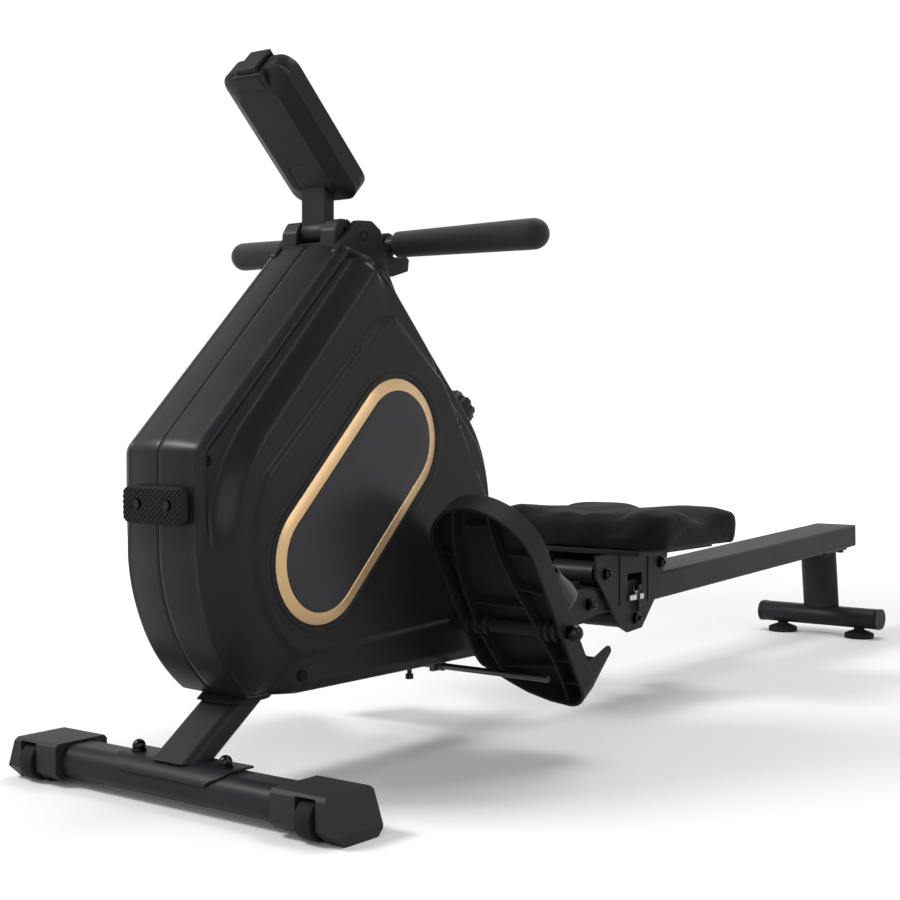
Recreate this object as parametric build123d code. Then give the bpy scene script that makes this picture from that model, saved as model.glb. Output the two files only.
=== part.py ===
from build123d import *
import math
import os

# A folding magnetic rowing machine, in millimetres.
# X runs across it (+X is the left hand of someone seated), +Y points to the rear, +Z up.
# The model is laid out with Y = 0 over the front foot, and is moved by -Y_MID when it is
# written, so that the origin is on the floor under the middle of the whole machine.

# ---- driving dimensions ----
Y_MID = 810.9                 # middle of the machine's length, from the front foot
FOOT_HALF = 250.0             # front foot, half width
RAIL_W, RAIL_H, WALL = 80.0, 40.0, 2.0
BEAM_Z = (115.5, 155.5)       # main beam, bottom and top
RAIL_FRONT, RAIL_REAR = 706.0, 1672.0
RAIL_SLOPE = 0.04             # the rail rises this much per mm to the rear
RAIL_TOP_REAR = 202.8         # height of the rail's top at its rear end
PIVOT = (738.0, 145.4)        # fold hinge, (Y, Z)
AXLE = (388.0, 162.0)         # footplate axle
STOP = (383.0, 105.0)         # stop rod
PEDAL_IN, PEDAL_OUT = 93.0, 238.0
PEDAL_SLOPE = 58.0            # degrees from the floor
HUB = (182.0, 280.0)          # centre of the tower's round front
FLYWHEEL = (182.0, 290.0)
SPOOL = (355.0, 300.0)
COVER_T = 3.0
COVER_FLAT, COVER_SIDE = 47.0, 82.0
BAR = (328.6, 623.0)          # handlebar at rest
TILT = (218.0, 630.0)         # console hinge
CONSOLE_FOOT = (248.5, 667.5) # lower end of the console's middle plane, (Y, Z)
CONSOLE_LEAN = 45.5           # degrees from upright, towards the front
CONSOLE_W, CONSOLE_L = 98.0, 187.0
CONSOLE_MID = 101.5           # middle of the body, up from CONSOLE_FOOT
KNOB = (0.0, 452.0, 402.0)
MAGNET_PIN = (80.0, 392.0)    # hinge of the magnet bracket
OUTLET = (362.0, 506.0)       # where the pull strap leaves the tower
LOCK = (716.0, 143.0)         # fold lock pin
LOCK_FOLDED = (734.8, 167.3)  # where the pin meets the rail once it is folded up
ROLLERS = {                   # Y, radius, and 1 above the rail or -1 below it
    "roller_front": (775.0, 18.0, 1),
    "roller_rear": (930.0, 18.0, 1),
    "roller_lower": (857.0, 16.0, -1),
}
RUN = 0.05                    # radial running clearance

NODES = {}


# ---- helpers ----
def rail_top(y):
    """Height of the rail's top face at y."""
    return RAIL_TOP_REAR + RAIL_SLOPE * (y - RAIL_REAR)


def rod(r, x0, x1, at):
    """Round bar along X from x0 to x1 at (Y, Z)."""
    bar = Cylinder(r, x1 - x0, align=(Align.CENTER, Align.CENTER, Align.MIN))
    return Pos(x0, at[0], at[1]) * Rot(0, 90, 0) * bar


def ring(r_out, r_in, x0, x1, at):
    return rod(r_out, x0, x1, at) - rod(r_in, x0 - 1, x1 + 1, at)


def post(r, z0, z1, x, y):
    """Round bar along Z."""
    return Pos(x, y, z0) * Cylinder(r, z1 - z0, align=(Align.CENTER, Align.CENTER, Align.MIN))


def block(x0, x1, y0, y1, z0, z1):
    return Pos((x0 + x1) / 2, (y0 + y1) / 2, (z0 + z1) / 2) * Box(x1 - x0, y1 - y0, z1 - z0)


def slab(points, x0, x1):
    """Outline in (Y, Z) made into a plate between x0 and x1."""
    face = make_face(Polyline(*[(0, y, z) for y, z in points], close=True))
    return Pos(x0, 0, 0) * extrude(face, amount=x1 - x0, dir=(1, 0, 0))


def mirrored(shape):
    return mirror(shape, about=Plane.YZ)


def both(shape):
    """The shape and its twin on the other side, as separate solids."""
    return Compound(children=[*shape.solids(), *mirrored(shape).solids()])


def group(*shapes):
    return Compound(children=[s for shape in shapes for s in shape.solids()])


def add(name, shape):
    """Adds the shape's solids to a node; a node may hold a few separate solids."""
    NODES.setdefault(name, []).extend(shape.solids())


def add_pair(name, shape):
    """Left is +X and right is -X, as the rower sits."""
    add(name + "_left", shape)
    add(name + "_right", mirrored(shape))


def arc(centre, r, a0, a1, steps):
    """Points on a circle in (Y, Z), angles in degrees from +Y."""
    angles = [math.radians(a0 + (a1 - a0) * i / steps) for i in range(steps + 1)]
    return [(centre[0] + r * math.cos(a), centre[1] + r * math.sin(a)) for a in angles]


def inset(points, d):
    """A convex outline, given anticlockwise, moved in by d on every side."""
    result = [(-900.0, -900.0), (900.0, -900.0), (900.0, 900.0), (-900.0, 900.0)]
    for a, b in zip(points, points[1:] + points[:1]):
        dy, dz = b[0] - a[0], b[1] - a[1]
        size = math.hypot(dy, dz)
        ny, nz = -dz / size, dy / size
        level = ny * a[0] + nz * a[1] + d
        kept = []
        for p, q in zip(result, result[1:] + result[:1]):
            hp = ny * p[0] + nz * p[1] - level
            hq = ny * q[0] + nz * q[1] - level
            if hp >= 0:
                kept.append(p)
            if hp * hq < 0:
                t = hp / (hp - hq)
                kept.append((p[0] + t * (q[0] - p[0]), p[1] + t * (q[1] - p[1])))
        result = kept
    clean = []
    for p in result:
        if not clean or math.dist(p, clean[-1]) > 0.4:
            clean.append(p)
    return clean


# ---- front foot ----
def oval_tube(width, height, x_half, at, wall):
    outer = SlotOverall(width, height)
    inner = SlotOverall(width - 2 * wall, height - 2 * wall)
    plane = Plane(origin=(-x_half, at[0], at[1]), x_dir=(0, 1, 0), z_dir=(1, 0, 0))
    return extrude(plane * (outer - inner), amount=2 * x_half)


def front_foot():
    centre = (0.0, 27.0)
    wheel = (-22.0, 23.0)
    tube = oval_tube(60, 38, 186, centre, WALL)
    tube -= block(-68.5, -65.5, -2, 1, 40, 50) + block(65.5, 68.5, -2, 1, 40, 50)
    add("front_foot_tube", tube)
    saddle = [(-24, 46.2), (24, 46.2), (24, 49.5), (-24, 49.5)]
    add("front_post", slab(saddle, -84, 84))
    bolt = post(8, 49.5, 52.5, 67, -1) + Pos(67, -1, 55) * Sphere(7.5)
    bolt -= block(50, 80, -20, 20, 30, 49.5)
    add("frame_fasteners", both(bolt))
    profile = [(-37, 24), (-37, 45), (-33, 49), (33, 49), (37, 45), (37, 8), (29, 0), (-20, 0), (-37, 15)]
    cap = slab(profile, 165, FOOT_HALF)
    cap -= slab([(-60, -10), (60, -10), (60, 8), (37, 8), (-37, 8), (-60, 8)], 150, 196)
    hollow = Plane(origin=(150, 0, 27), x_dir=(0, 1, 0), z_dir=(1, 0, 0)) * SlotOverall(60.2, 38.2)
    cap -= extrude(hollow, amount=36.2)
    cap -= rod(23.5, 199, 226, wheel)
    cap -= slab([(-60, 0), (-22, 0), (-22, 46), (-60, 46)], 199, 226)
    end_cut = Plane(origin=(FOOT_HALF, 0, 12), x_dir=(0, 1, 0), z_dir=(0.94, 0, 0.34))
    cap -= extrude(end_cut * Rectangle(200, 200), amount=60)
    add("front_end_caps", both(cap))
    add_pair("transport_wheel", ring(21, 4 + RUN, 202, 223, wheel))
    add("shafts_and_pins", both(rod(4, 199, 226, wheel)))


# ---- frame inside the tower ----
def post_and_beam():
    lean = Plane(origin=(0, 0, 48), x_dir=(1, 0, 0), z_dir=(0, 0.808, 0.589))
    section = RectangleRounded(60, 29, 12) - RectangleRounded(56, 25, 10)
    shaft = extrude(lean * section, amount=200, both=True)
    shaft -= block(-100, 100, -400, 400, -300, 49.6)
    shaft -= block(-100, 100, 118, 500, -300, 500)
    add("front_post", shaft.solids().sort_by(SortBy.VOLUME)[-1])
    low, high = BEAM_Z
    beam = block(-40, 40, 118, 690, low, high) - block(-38, 38, 120, 700, low + WALL, high - WALL)
    add("main_beam", beam)
    lug_outline = [(610, 120), (700, 120), (756, 128), (760, 160), (745, 166), (650, 158), (610, 152)]
    lug = slab(lug_outline, 40.3, 44.3)
    lug -= rod(6 + RUN, 30, 60, PIVOT)
    lug_right = mirrored(lug) - rod(5 + RUN, -60, -30, LOCK)
    add("main_beam", group(lug, lug_right))
    nut = rod(9, 44.4, 50, PIVOT) + Pos(50, *PIVOT) * Sphere(6.5)
    bolt = rod(6, -44.4, 44.4, PIVOT) + nut + mirrored(nut)
    add("shafts_and_pins", bolt)


def side_plates():
    outline = [(150, BEAM_Z[1]), (440, BEAM_Z[1]), (425, 330), (270, 584), (208, 584), (58, 420), (58, 300)]
    plate = slab(outline, 34, 37)
    for centre, r in ((FLYWHEEL, 8), (SPOOL, 8), (AXLE, 6), (MAGNET_PIN, 4)):
        plate -= rod(r + RUN, 20, 50, centre)
    add("side_plates", both(plate))
    add("side_plates", block(-33.8, 33.8, 212, 268, 560, 584))


# ---- flywheel drive ----
def drive():
    wheel = ring(118, 8 + RUN, 8, 22, FLYWHEEL) - ring(90, 30, 8 - 1, 11, FLYWHEEL)
    small = ring(18, 8 + RUN, -30, 8, FLYWHEEL) - ring(30, 16, -28, -20, FLYWHEEL)
    add("flywheel", (wheel + small).solids()[0])
    add("shafts_and_pins", rod(8, -37, 37, FLYWHEEL))
    big = ring(80, 8 + RUN, -30, -18, SPOOL) - ring(90, 78, -28, -20, SPOOL)
    for i in range(6):
        a = math.radians(60 * i)
        big -= rod(15, -31, -17, (SPOOL[0] + 48 * math.cos(a), SPOOL[1] + 48 * math.sin(a)))
    add("drive_pulley", big)
    belt_out = hull_of((FLYWHEEL, 18.6), (SPOOL, 80.6))
    belt_in = hull_of((FLYWHEEL, 16.4), (SPOOL, 78.4))
    add("drive_belt", Pos(-27.5, 0, 0) * extrude(belt_out - belt_in, amount=7, dir=(1, 0, 0)))
    hub = ring(20, 8 + RUN, -14, 14, SPOOL)
    flanges = ring(44, 8 + RUN, -16.5, -14, SPOOL) + ring(44, 8 + RUN, 14, 16.5, SPOOL)
    add("strap_spool", (hub + flanges).solids()[0])
    add("shafts_and_pins", rod(8, -37, 37, SPOOL))
    add("recoil_spring", ring(38, 8.2, 18.5, 33.5, SPOOL))
    arm = slab(arc(FLYWHEEL, 134, 142, 205, 12) + arc(FLYWHEEL, 122, 205, 142, 12), 4, 26)
    arm += rod(12, 4, 26, MAGNET_PIN)
    arm -= rod(4 + RUN, 0, 30, MAGNET_PIN)
    add("magnet_bracket", arm.solids()[0])
    add("shafts_and_pins", rod(4, -37, 37, MAGNET_PIN))


def hull_of(*circles):
    """Face in the YZ plane around round pulleys, each ((Y, Z), r)."""
    plane = Plane(origin=(0, 0, 0), x_dir=(0, 1, 0), z_dir=(1, 0, 0))
    edges = [e for centre, r in circles for e in (Pos(*centre) * Circle(r)).edges()]
    return plane * make_hull(edges)


# ---- tower covers ----
def tower_outline():
    """Side view of the tower, anticlockwise from its top."""
    front = arc(HUB, 214, 180, 231.7, 10)
    rear = arc((326, 299), 169, 0, 43.6, 8)
    heel = arc((460, 147), 35, 270, 360, 5)
    return [(202, 617), (-32, 385), *front, *heel, *rear, (279, 590), (252, 606)]


def loft_x(a, b, xa, xb):
    """Solid between two outlines that have the same number of points."""
    lower = make_face(Polyline(*[(xa, y, z) for y, z in a], close=True))
    upper = make_face(Polyline(*[(xb, y, z) for y, z in b], close=True))
    return loft([lower, upper], ruled=True)


def bulge_outline(d):
    """Outline of the side's raised part, one point for each of its parts at any inset d."""
    front = arc(HUB, 196 - d, 136, 236, 14)
    rear = arc((326, 299), 151 - d, 0, 43.6, 8)
    heel = arc((452, 157), 27 - d * 0.4, 270, 360, 5)
    top = [(238 + d * 0.02, 590 - 1.42 * d)]
    return [*front, *heel, *rear, *top]


def cover_body(d):
    """The left cover's outside, or its inside when d is the wall."""
    body = slab(inset(tower_outline(), d), 0 if d else 0.1, COVER_FLAT - d)
    body += loft_x(bulge_outline(d), bulge_outline(d + 22), COVER_FLAT - d, COVER_SIDE - d)
    return body


def covers():
    cover = cover_body(0) - cover_body(COVER_T)
    cover -= rod(10.8, 60, 90, AXLE)
    cover -= block(-41, 41, 100, 118, 105, 120)
    cover -= block(-41, 41, 440, 520, 110, 158)
    lean = Plane(origin=(0, 0, 48), x_dir=(1, 0, 0), z_dir=(0, 0.808, 0.589))
    cover -= extrude(lean * RectangleRounded(62, 31, 13), amount=150)
    cover -= block(-35, 35, 205, 292, 583, 640)
    slot = Plane(origin=(0, *OUTLET), x_dir=(1, 0, 0), z_dir=(0, 0.724, 0.690))
    cover -= extrude(slot * Rectangle(40, 34), amount=30, both=True)
    cover -= Pos(*KNOB) * Rot(-46.4, 0, 0) * Cylinder(8.4, 60)
    add_pair("cover", cover.solids().sort_by(SortBy.VOLUME)[-1])
    spots = [(COVER_FLAT, p) for p in ((200, 596), (-14, 370), (400, 448), (487, 232))]
    screws = [rod(4, x, x + 1.5, at) for x, at in spots]
    add("frame_fasteners", group(*[both(s) for s in screws]))
    a, b = (262.0, 387.0), (131.0, 258.0)
    outer, middle = hull_of((a, 72), (b, 72)), hull_of((a, 58), (b, 58))
    add("trim_rings", both(Pos(COVER_SIDE, 0, 0) * extrude(outer - middle, amount=2, dir=(1, 0, 0))))
    add("oval_panels", both(Pos(COVER_SIDE, 0, 0) * extrude(middle, amount=2, dir=(1, 0, 0))))
    collar = extrude(lean * RectangleRounded(70, 38, 14), amount=120)
    collar -= extrude(lean * RectangleRounded(60.3, 29.3, 12.1), amount=300, both=True)
    collar -= block(-100, 100, -300, 600, 112, 400)
    collar -= block(-100, 100, -300, 600, -100, 104)
    add("boot_collar", collar.solids()[0])


def tower_fittings():
    pad = block(-46, 46, -44, -32.2, 303, 343)
    pad = fillet(pad.edges().filter_by(Axis.Y), 10)
    for x in (-23, 23):
        pad -= Pos(x, -44, 324) * Rot(90, 0, 0) * Cylinder(5.1, 8)
    add("standing_pad", pad)
    screws = [Pos(x, -41.5, 324) * Rot(90, 0, 0) * Cylinder(5, 3) for x in (-23, 23)]
    add("frame_fasteners", group(*screws))
    lean = Plane(origin=(0, *OUTLET), x_dir=(1, 0, 0), z_dir=(0, 0.724, 0.690))
    bezel = extrude(lean * RectangleRounded(56, 46, 6), amount=6)
    bezel -= extrude(lean * RectangleRounded(34, 30, 3), amount=40, both=True)
    add("strap_outlet", Pos(0, 0.724 * 1.2, 0.690 * 1.2) * bezel)
    cradle_outline = [(250, 584.2), (318, 583.5), (348, 592), (350, 606), (338, 614), (290, 622), (250, 604)]
    cradle = slab(cradle_outline, 18, 30) - rod(16.9, 10, 40, BAR)
    cradle -= slab([(318, 608), (420, 614), (420, 680), (300, 680)], 10, 40)
    add("handlebar_rest", both(cradle))
    add("stop_rod", rod(4, -214, 214, STOP))
    hanger = block(44, 51, 372, 394, 99, 111.9) - rod(4 + RUN, 40, 60, STOP)
    collar = ring(6, 4 + RUN, 51, 58, STOP)
    add("stop_rod", both(hanger + collar))
    bolt = post(3, 96, 111.9, 30, 350) + post(5, 91, 97, 30, 350)
    add("frame_fasteners", bolt)


# ---- footplates ----
def pedal_plane(w):
    """Plane of the sole, w above the axle; its x runs across and its y towards the heel."""
    a = math.radians(PEDAL_SLOPE)
    n = (0, math.sin(a), math.cos(a))
    origin = (0, AXLE[0] + w * n[1], AXLE[1] + w * n[2])
    return Plane(origin=origin, x_dir=(1, 0, 0), z_dir=n)


def pedal_outline(d):
    """Sole outline, moved in by d: round toe, long side, cut-away inner heel."""
    x0, x1 = PEDAL_IN + d, PEDAL_OUT - d
    toe, heel = -183 + d, 104 - d
    big, small = 68 - d, 22 - d
    left = CenterArc((x0 + big, toe + big), big, 180, 90)
    top = Line((x0 + big, toe), (x1 - big, toe))
    right = CenterArc((x1 - big, toe + big), big, 270, 90)
    near = Line((x1, toe + big), (x1, heel - small))
    corner = CenterArc((x1 - small, heel - small), small, 0, 90)
    sweep = ThreePointArc((x1 - small, heel), ((x0 + x1) / 2 - 16, heel - 25), (x0, 46 - d))
    far = Line((x0, 46 - d), (x0, toe + big))
    return make_face([left, top, right, near, corner, sweep, far])


def pedals():
    rim = extrude(pedal_plane(-13) * (pedal_outline(0) - pedal_outline(4)), amount=29)
    plate = extrude(pedal_plane(8) * pedal_outline(3.9), amount=4)
    foot = rim + plate
    for x in (128, 168, 206):
        foot += extrude(pedal_plane(-9) * (Pos(x, -40) * Rectangle(3, 260) & pedal_outline(3)), amount=18)
    boss = rod(11, PEDAL_IN + 1, PEDAL_OUT - 1, AXLE)
    foot += boss & extrude(pedal_plane(-20) * pedal_outline(1), amount=29)
    wall = pedal_outline(0) - pedal_outline(4)
    cup = extrude(pedal_plane(15) * (wall & (Pos(165, 90) * Rectangle(200, 70))), amount=48)
    cup -= extrude(pedal_plane(28) * (Pos(165, 90) * Rectangle(40, 60)), amount=50)
    foot += cup
    foot -= rod(6 + RUN, 50, 260, AXLE)
    for x in (PEDAL_IN, PEDAL_OUT):
        foot -= extrude(pedal_plane(12) * (Pos(x, -42) * Rectangle(20, 56)), amount=2.4)
    add_pair("footplate", foot.solids().sort_by(SortBy.VOLUME)[-1])
    arch = pedal_arch(4.2, 65) - pedal_arch(7.2, 62)
    add_pair("foot_strap", arch.solids()[0])
    add("pedal_axle", rod(6, -243, 243, AXLE))
    nut = rod(8, 239.5, 243, AXLE) + Pos(248, *AXLE) * Sphere(10)
    nut -= rod(6.0, 200, 243, AXLE)
    add("frame_fasteners", both(nut.solids()[0]))
    add("axle_bushes", both(ring(10.5, 6, 40.5, 91, AXLE)))


def pedal_arch(d, top):
    """Solid under the foot strap's arch, from the sole up, d in from the footplate's sides."""
    x0, x1 = PEDAL_IN + d, PEDAL_OUT - d
    a = math.radians(PEDAL_SLOPE)
    along = (0, -math.cos(a), math.sin(a))
    plane = Plane(origin=(0, *AXLE), x_dir=(1, 0, 0), z_dir=along)
    r = 48 - d
    sketch = Pos((x0 + x1) / 2, 12.1 + top / 2) * Rectangle(x1 - x0, top)
    sketch = fillet(sketch.vertices().group_by(Axis.Y)[-1], r)
    return Pos(*[18 * c for c in along]) * extrude(plane * sketch, amount=48)


# ---- rail and rear foot ----
def rail_plane(y, z=0.0):
    """Section plane across the rail at y, its z axis along the rail to the rear."""
    a = math.atan(RAIL_SLOPE)
    return Plane(origin=(0, y, z), x_dir=(1, 0, 0), z_dir=(0, math.cos(a), math.sin(a)))


def rail_parts():
    run = (RAIL_REAR - RAIL_FRONT) / math.cos(math.atan(RAIL_SLOPE))
    at = rail_plane(RAIL_FRONT, rail_top(RAIL_FRONT) - RAIL_H / 2)
    outer = RectangleRounded(RAIL_W, RAIL_H, 3.5)
    inner = RectangleRounded(RAIL_W - 2 * WALL, RAIL_H - 2 * WALL, 2)
    rail = extrude(at * (outer - inner), amount=run)
    rail -= rod(6 + RUN, -60, 60, PIVOT)
    for hole in (LOCK, LOCK_FOLDED):
        rail -= rod(5.8, -60, -20, hole)
    add("rail", rail)
    end = rail_plane(RAIL_REAR, rail_top(RAIL_REAR) - RAIL_H / 2)
    cap = extrude(end * outer, amount=6)
    add("rear_end_caps", cap)
    front_stop = extrude(rail_plane(737, rail_top(743) + 4.8) * Rectangle(44, 9), amount=12)
    rear_stop = extrude(rail_plane(1476, rail_top(1482) - RAIL_H - 3.9) * Rectangle(24, 7), amount=12)
    add("seat_stops", group(front_stop, rear_stop))
    foot = (1612.0, 36.6)
    tube = oval_tube(46, 36, 112, foot, WALL)
    for x in (-76.4, 76.4):
        tube -= post(6 + RUN, 10, 30, x, foot[0])
    add("rear_leg", tube)
    caps = Plane(origin=(112, *foot), x_dir=(0, 1, 0), z_dir=(1, 0, 0)) * SlotOverall(47, 37)
    add("rear_end_caps", both(extrude(caps, amount=5.5)))
    lean = Plane(origin=(0, 1608, 104), x_dir=(1, 0, 0), z_dir=(0, -15, 105))
    leg = extrude(lean * (Ellipse(34, 21) - Ellipse(32, 19)), amount=90, both=True)
    below = rail_plane(RAIL_FRONT, rail_top(RAIL_FRONT) + 200 - RAIL_H - 3.4)
    under = extrude(below * Rectangle(300, 400), amount=2000)
    leg -= under
    solid_foot = Plane(origin=(-112, *foot), x_dir=(0, 1, 0), z_dir=(1, 0, 0)) * SlotOverall(46.1, 36.1)
    leg -= extrude(solid_foot, amount=224)
    leg -= block(-100, 100, 1400, 1800, -100, foot[1])
    add("rear_leg", leg.solids().sort_by(SortBy.VOLUME)[-1])
    y0, y1 = 1560, 1648
    corners = ((y0, 3.3), (y1, 3.3), (y1, 0.1), (y0, 0.1))
    plate_points = [(y, rail_top(y) - RAIL_H - dz) for y, dz in corners]
    add("rear_leg", slab(plate_points, -36, 36))
    bolts = []
    for x in (-26, 26):
        for y in (1568, 1640):
            z = rail_top(y) - RAIL_H - 3.8
            bolts.append(post(6, z - 5, z, x, y))
    add("rear_bolts", group(*bolts))
    pad = revolve(foot_profile(), axis=Axis.Z)
    add_pair("levelling_foot", Pos(76.4, foot[0], 0) * pad)


def foot_profile():
    points = [
        (0, 0), (25.5, 0), (26.5, 2), (26.5, 5), (12, 12),
        (9.5, 12.5), (9.5, 17.8), (6, 17.8), (6, 34), (0, 34),
    ]
    return make_face(Polyline(*[(x, 0, z) for x, z in points], close=True))


# ---- seat ----
def roller_centre(name):
    y, r, side = ROLLERS[name]
    z = rail_top(y) + r + 0.35 if side > 0 else rail_top(y) - RAIL_H - r - 0.35
    return (y, z)


def seat():
    outline = [
        (748, 213.9), (748, 182), (815, 104), (835, 95),
        (875, 98), (913, 137), (950, 200), (950, 213.9),
    ]
    plate = slab(outline, 46, 50)
    plate -= block(40, 60, 834, 874, 141, 181)
    for name in ROLLERS:
        plate -= rod(5, 30, 60, roller_centre(name))
    add("carriage_plates", both(plate))
    axles = []
    for name, (y, r, side) in ROLLERS.items():
        centre = roller_centre(name)
        add(name, ring(r, 5 + RUN, -36, 36, centre))
        head = rod(8, 50, 54.5, centre)
        axles.append(rod(5, -50, 50, centre) + head + mirrored(head))
    add("carriage_axles", group(*axles))
    screw = post(3, 124.5, 164, 54, 857) + block(50.1, 52.5, 845, 869, 155, 163)
    add("carriage_axles", both(screw.solids()[0]))
    add("seat_pan", block(-105, 105, 772, 990, 214, 221.6))
    pad = loft([
        Plane.XY.offset(222) * Pos(0, 885) * RectangleRounded(272, 216, 60),
        Plane.XY.offset(236) * Pos(0, 885) * RectangleRounded(302, 246, 70),
        Plane.XY.offset(268) * Pos(0, 885) * RectangleRounded(290, 232, 66),
    ])
    add("seat_pad", pad)


# ---- handlebar and strap ----
def handle():
    add("handlebar_tube", ring(11, 8, -210, 210, BAR))
    add("grips", both(Pos(0, *BAR) * Rot(0, 90, 0) * grip_body()))
    clamp = block(-15, 15, BAR[0] - 3, BAR[0] + 3, BAR[1] - 34, BAR[1] - 8) + rod(15, -15, 15, BAR)
    clamp -= rod(11.02, -20, 20, BAR)
    add("strap_connector", clamp.solids()[0])
    top = (BAR[0], BAR[1] - 34.3)
    low = (OUTLET[0] + 5.0, OUTLET[1])
    tail = (SPOOL[0] + 20.4, SPOOL[1] + 6)
    t = 0.8
    line = [top, low, tail]
    shape = [(y - t, z) for y, z in line] + [(y + t, z) for y, z in reversed(line)]
    add("pull_strap", slab(shape, -12, 12))


def grip_body():
    """Left grip on the Z axis: slight taper out to a round end."""
    body = Pos(0, 0, 32) * Cone(15.8, 18, 183, align=(Align.CENTER, Align.CENTER, Align.MIN))
    body += Pos(0, 0, 215) * Cylinder(18, 15, align=(Align.CENTER, Align.CENTER, Align.MIN))
    body += Pos(0, 0, 230) * Sphere(18)
    return body - Cylinder(11.02, 420.4)


# ---- console ----
def console_plane(z):
    """Console frame: x across, y up its length, z out of its back."""
    a = math.radians(CONSOLE_LEAN)
    out = (0, -math.cos(a), -math.sin(a))
    y, foot = CONSOLE_FOOT
    return Plane(origin=(0, y + z * out[1], foot + z * out[2]), x_dir=(1, 0, 0), z_dir=out)


def console():
    body = Pos(0, CONSOLE_MID) * RectangleRounded(CONSOLE_W, CONSOLE_L, 20)
    back = Pos(0, CONSOLE_MID) * RectangleRounded(60, 138, 12)
    rear = extrude(console_plane(0) * body, amount=6)
    rear += loft([console_plane(6) * body, console_plane(17.5) * back])
    whole = rear + extrude(console_plane(-17.5) * body, amount=17.5)
    rear -= extrude(console_plane(13.9) * (Pos(0, 52) * RectangleRounded(42, 37, 9)), amount=10)
    rear -= extrude(console_plane(5) * (Pos(0, 186) * Rectangle(32.6, 60)), amount=7)
    add("console_rear_shell", rear.solids().sort_by(SortBy.VOLUME)[-1])
    bezel = extrude(console_plane(-17.5) * body, amount=17.4)
    bezel -= extrude(console_plane(-17.5) * (Pos(0, 112) * RectangleRounded(76, 106, 6)), amount=3)
    for x in (-27, 0, 27):
        bezel -= extrude(console_plane(-17.6) * (Pos(x, 32) * Circle(8.3)), amount=7)
    add("console_bezel", bezel)
    lens = Pos(0, 112) * RectangleRounded(75.6, 105.6, 6)
    add("display_lens", extrude(console_plane(-17.4) * lens, amount=2.8))
    door = Pos(0, 52) * RectangleRounded(41, 36, 9)
    add("battery_door", extrude(console_plane(14) * door, amount=3))
    for name, x in (("button_mode", 27), ("button_set", 0), ("button_reset", -27)):
        add(name, extrude(console_plane(-19.5) * (Pos(x, 32) * Circle(7.9)), amount=7))
    tongue = extrude(console_plane(5.4) * (Pos(0, 182) * Rectangle(30, 36)), amount=6)
    tongue += extrude(console_plane(-24.5) * (Pos(0, 198) * Rectangle(30, 4)), amount=35.9)
    tongue += extrude(console_plane(-24.5) * (Pos(0, 194) * Rectangle(30, 12)), amount=2.5)
    add("phone_clip", tongue.solids()[0])
    stalk = block(-18, 18, 209, 226, 628, 690) + rod(11.5, -18, 18, TILT)
    stalk -= rod(3 + RUN, -60, 60, TILT)
    stalk -= whole
    stalk -= block(-60, 60, 205, 240, 560, 617.5)
    add("console_stalk", stalk.solids().sort_by(SortBy.VOLUME)[-1])
    ear = rod(12, 18.5, 42, TILT) + block(18.5, 42, 206, 230, 606, 630)
    base = block(-42, 42, 206, 232, 603.5, 607.5)
    bracket = base + ear + mirrored(ear) - rod(3 + RUN, -60, 60, TILT)
    bracket -= cover_top()
    add("console_bracket", bracket.solids()[0])
    add("shafts_and_pins", rod(3, -42, 42, TILT))


def cover_top():
    body = slab(inset(tower_outline(), -0.1), 34.9, COVER_FLAT + 5)
    return body + mirrored(body)


# ---- knobs ----
def knobs():
    lean = Pos(*KNOB) * Rot(-49.5, 0, 0)
    knob = Cylinder(28, 30, align=(Align.CENTER, Align.CENTER, Align.MIN))
    for i in range(10):
        a = math.radians(36 * i)
        knob -= Pos(31 * math.cos(a), 31 * math.sin(a), 15) * Cylinder(6, 40)
    shank = Cylinder(7, 30, align=(Align.CENTER, Align.CENTER, Align.MIN))
    knob = Pos(0, 0, 12) * knob + Pos(0, 0, -14) * shank
    add("tension_knob", lean * knob)
    pin = rod(6 - 1, -62, -42, LOCK) + rod(13, -80, -60, LOCK)
    add("fold_lock_knob", pin)


front_foot()
post_and_beam()
side_plates()
drive()
covers()
tower_fittings()
pedals()
rail_parts()
seat()
handle()
console()
knobs()

os.makedirs("parts", exist_ok=True)
for node, shape in NODES.items():
    placed = [Pos(0, -Y_MID, 0) * solid for solid in shape]
    export_step(placed[0] if len(placed) == 1 else Compound(children=placed), f"parts/{node}.step")
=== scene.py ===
import math

import bmesh
import bpy
import numpy as np
from mathutils import Matrix, Vector


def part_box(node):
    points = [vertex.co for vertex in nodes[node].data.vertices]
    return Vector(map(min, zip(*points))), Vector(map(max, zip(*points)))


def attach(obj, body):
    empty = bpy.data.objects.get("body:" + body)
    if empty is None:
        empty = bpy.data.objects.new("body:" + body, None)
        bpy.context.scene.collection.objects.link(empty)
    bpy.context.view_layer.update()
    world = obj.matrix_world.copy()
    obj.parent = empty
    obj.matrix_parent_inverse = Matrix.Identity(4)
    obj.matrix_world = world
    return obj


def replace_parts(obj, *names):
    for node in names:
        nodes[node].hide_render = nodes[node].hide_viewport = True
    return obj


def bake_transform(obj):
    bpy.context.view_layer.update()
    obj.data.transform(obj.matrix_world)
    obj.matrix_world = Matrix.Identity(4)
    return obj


# Looks of a folding rowing machine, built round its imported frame. Metres, +X to the rower's left,
# +Y to the rear, +Z up. Lengths below are in millimetres from the front foot's axis, and at() or
# points() turn them into the frame's metres.
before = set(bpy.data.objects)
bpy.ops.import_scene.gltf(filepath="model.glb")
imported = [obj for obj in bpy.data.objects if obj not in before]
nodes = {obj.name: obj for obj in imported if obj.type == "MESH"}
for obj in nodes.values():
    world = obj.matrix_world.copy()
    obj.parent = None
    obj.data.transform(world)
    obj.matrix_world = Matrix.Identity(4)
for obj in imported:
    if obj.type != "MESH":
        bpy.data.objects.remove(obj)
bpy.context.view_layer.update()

MIDDLE = 810.9                 # the frame's origin lies this far behind the front foot


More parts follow.
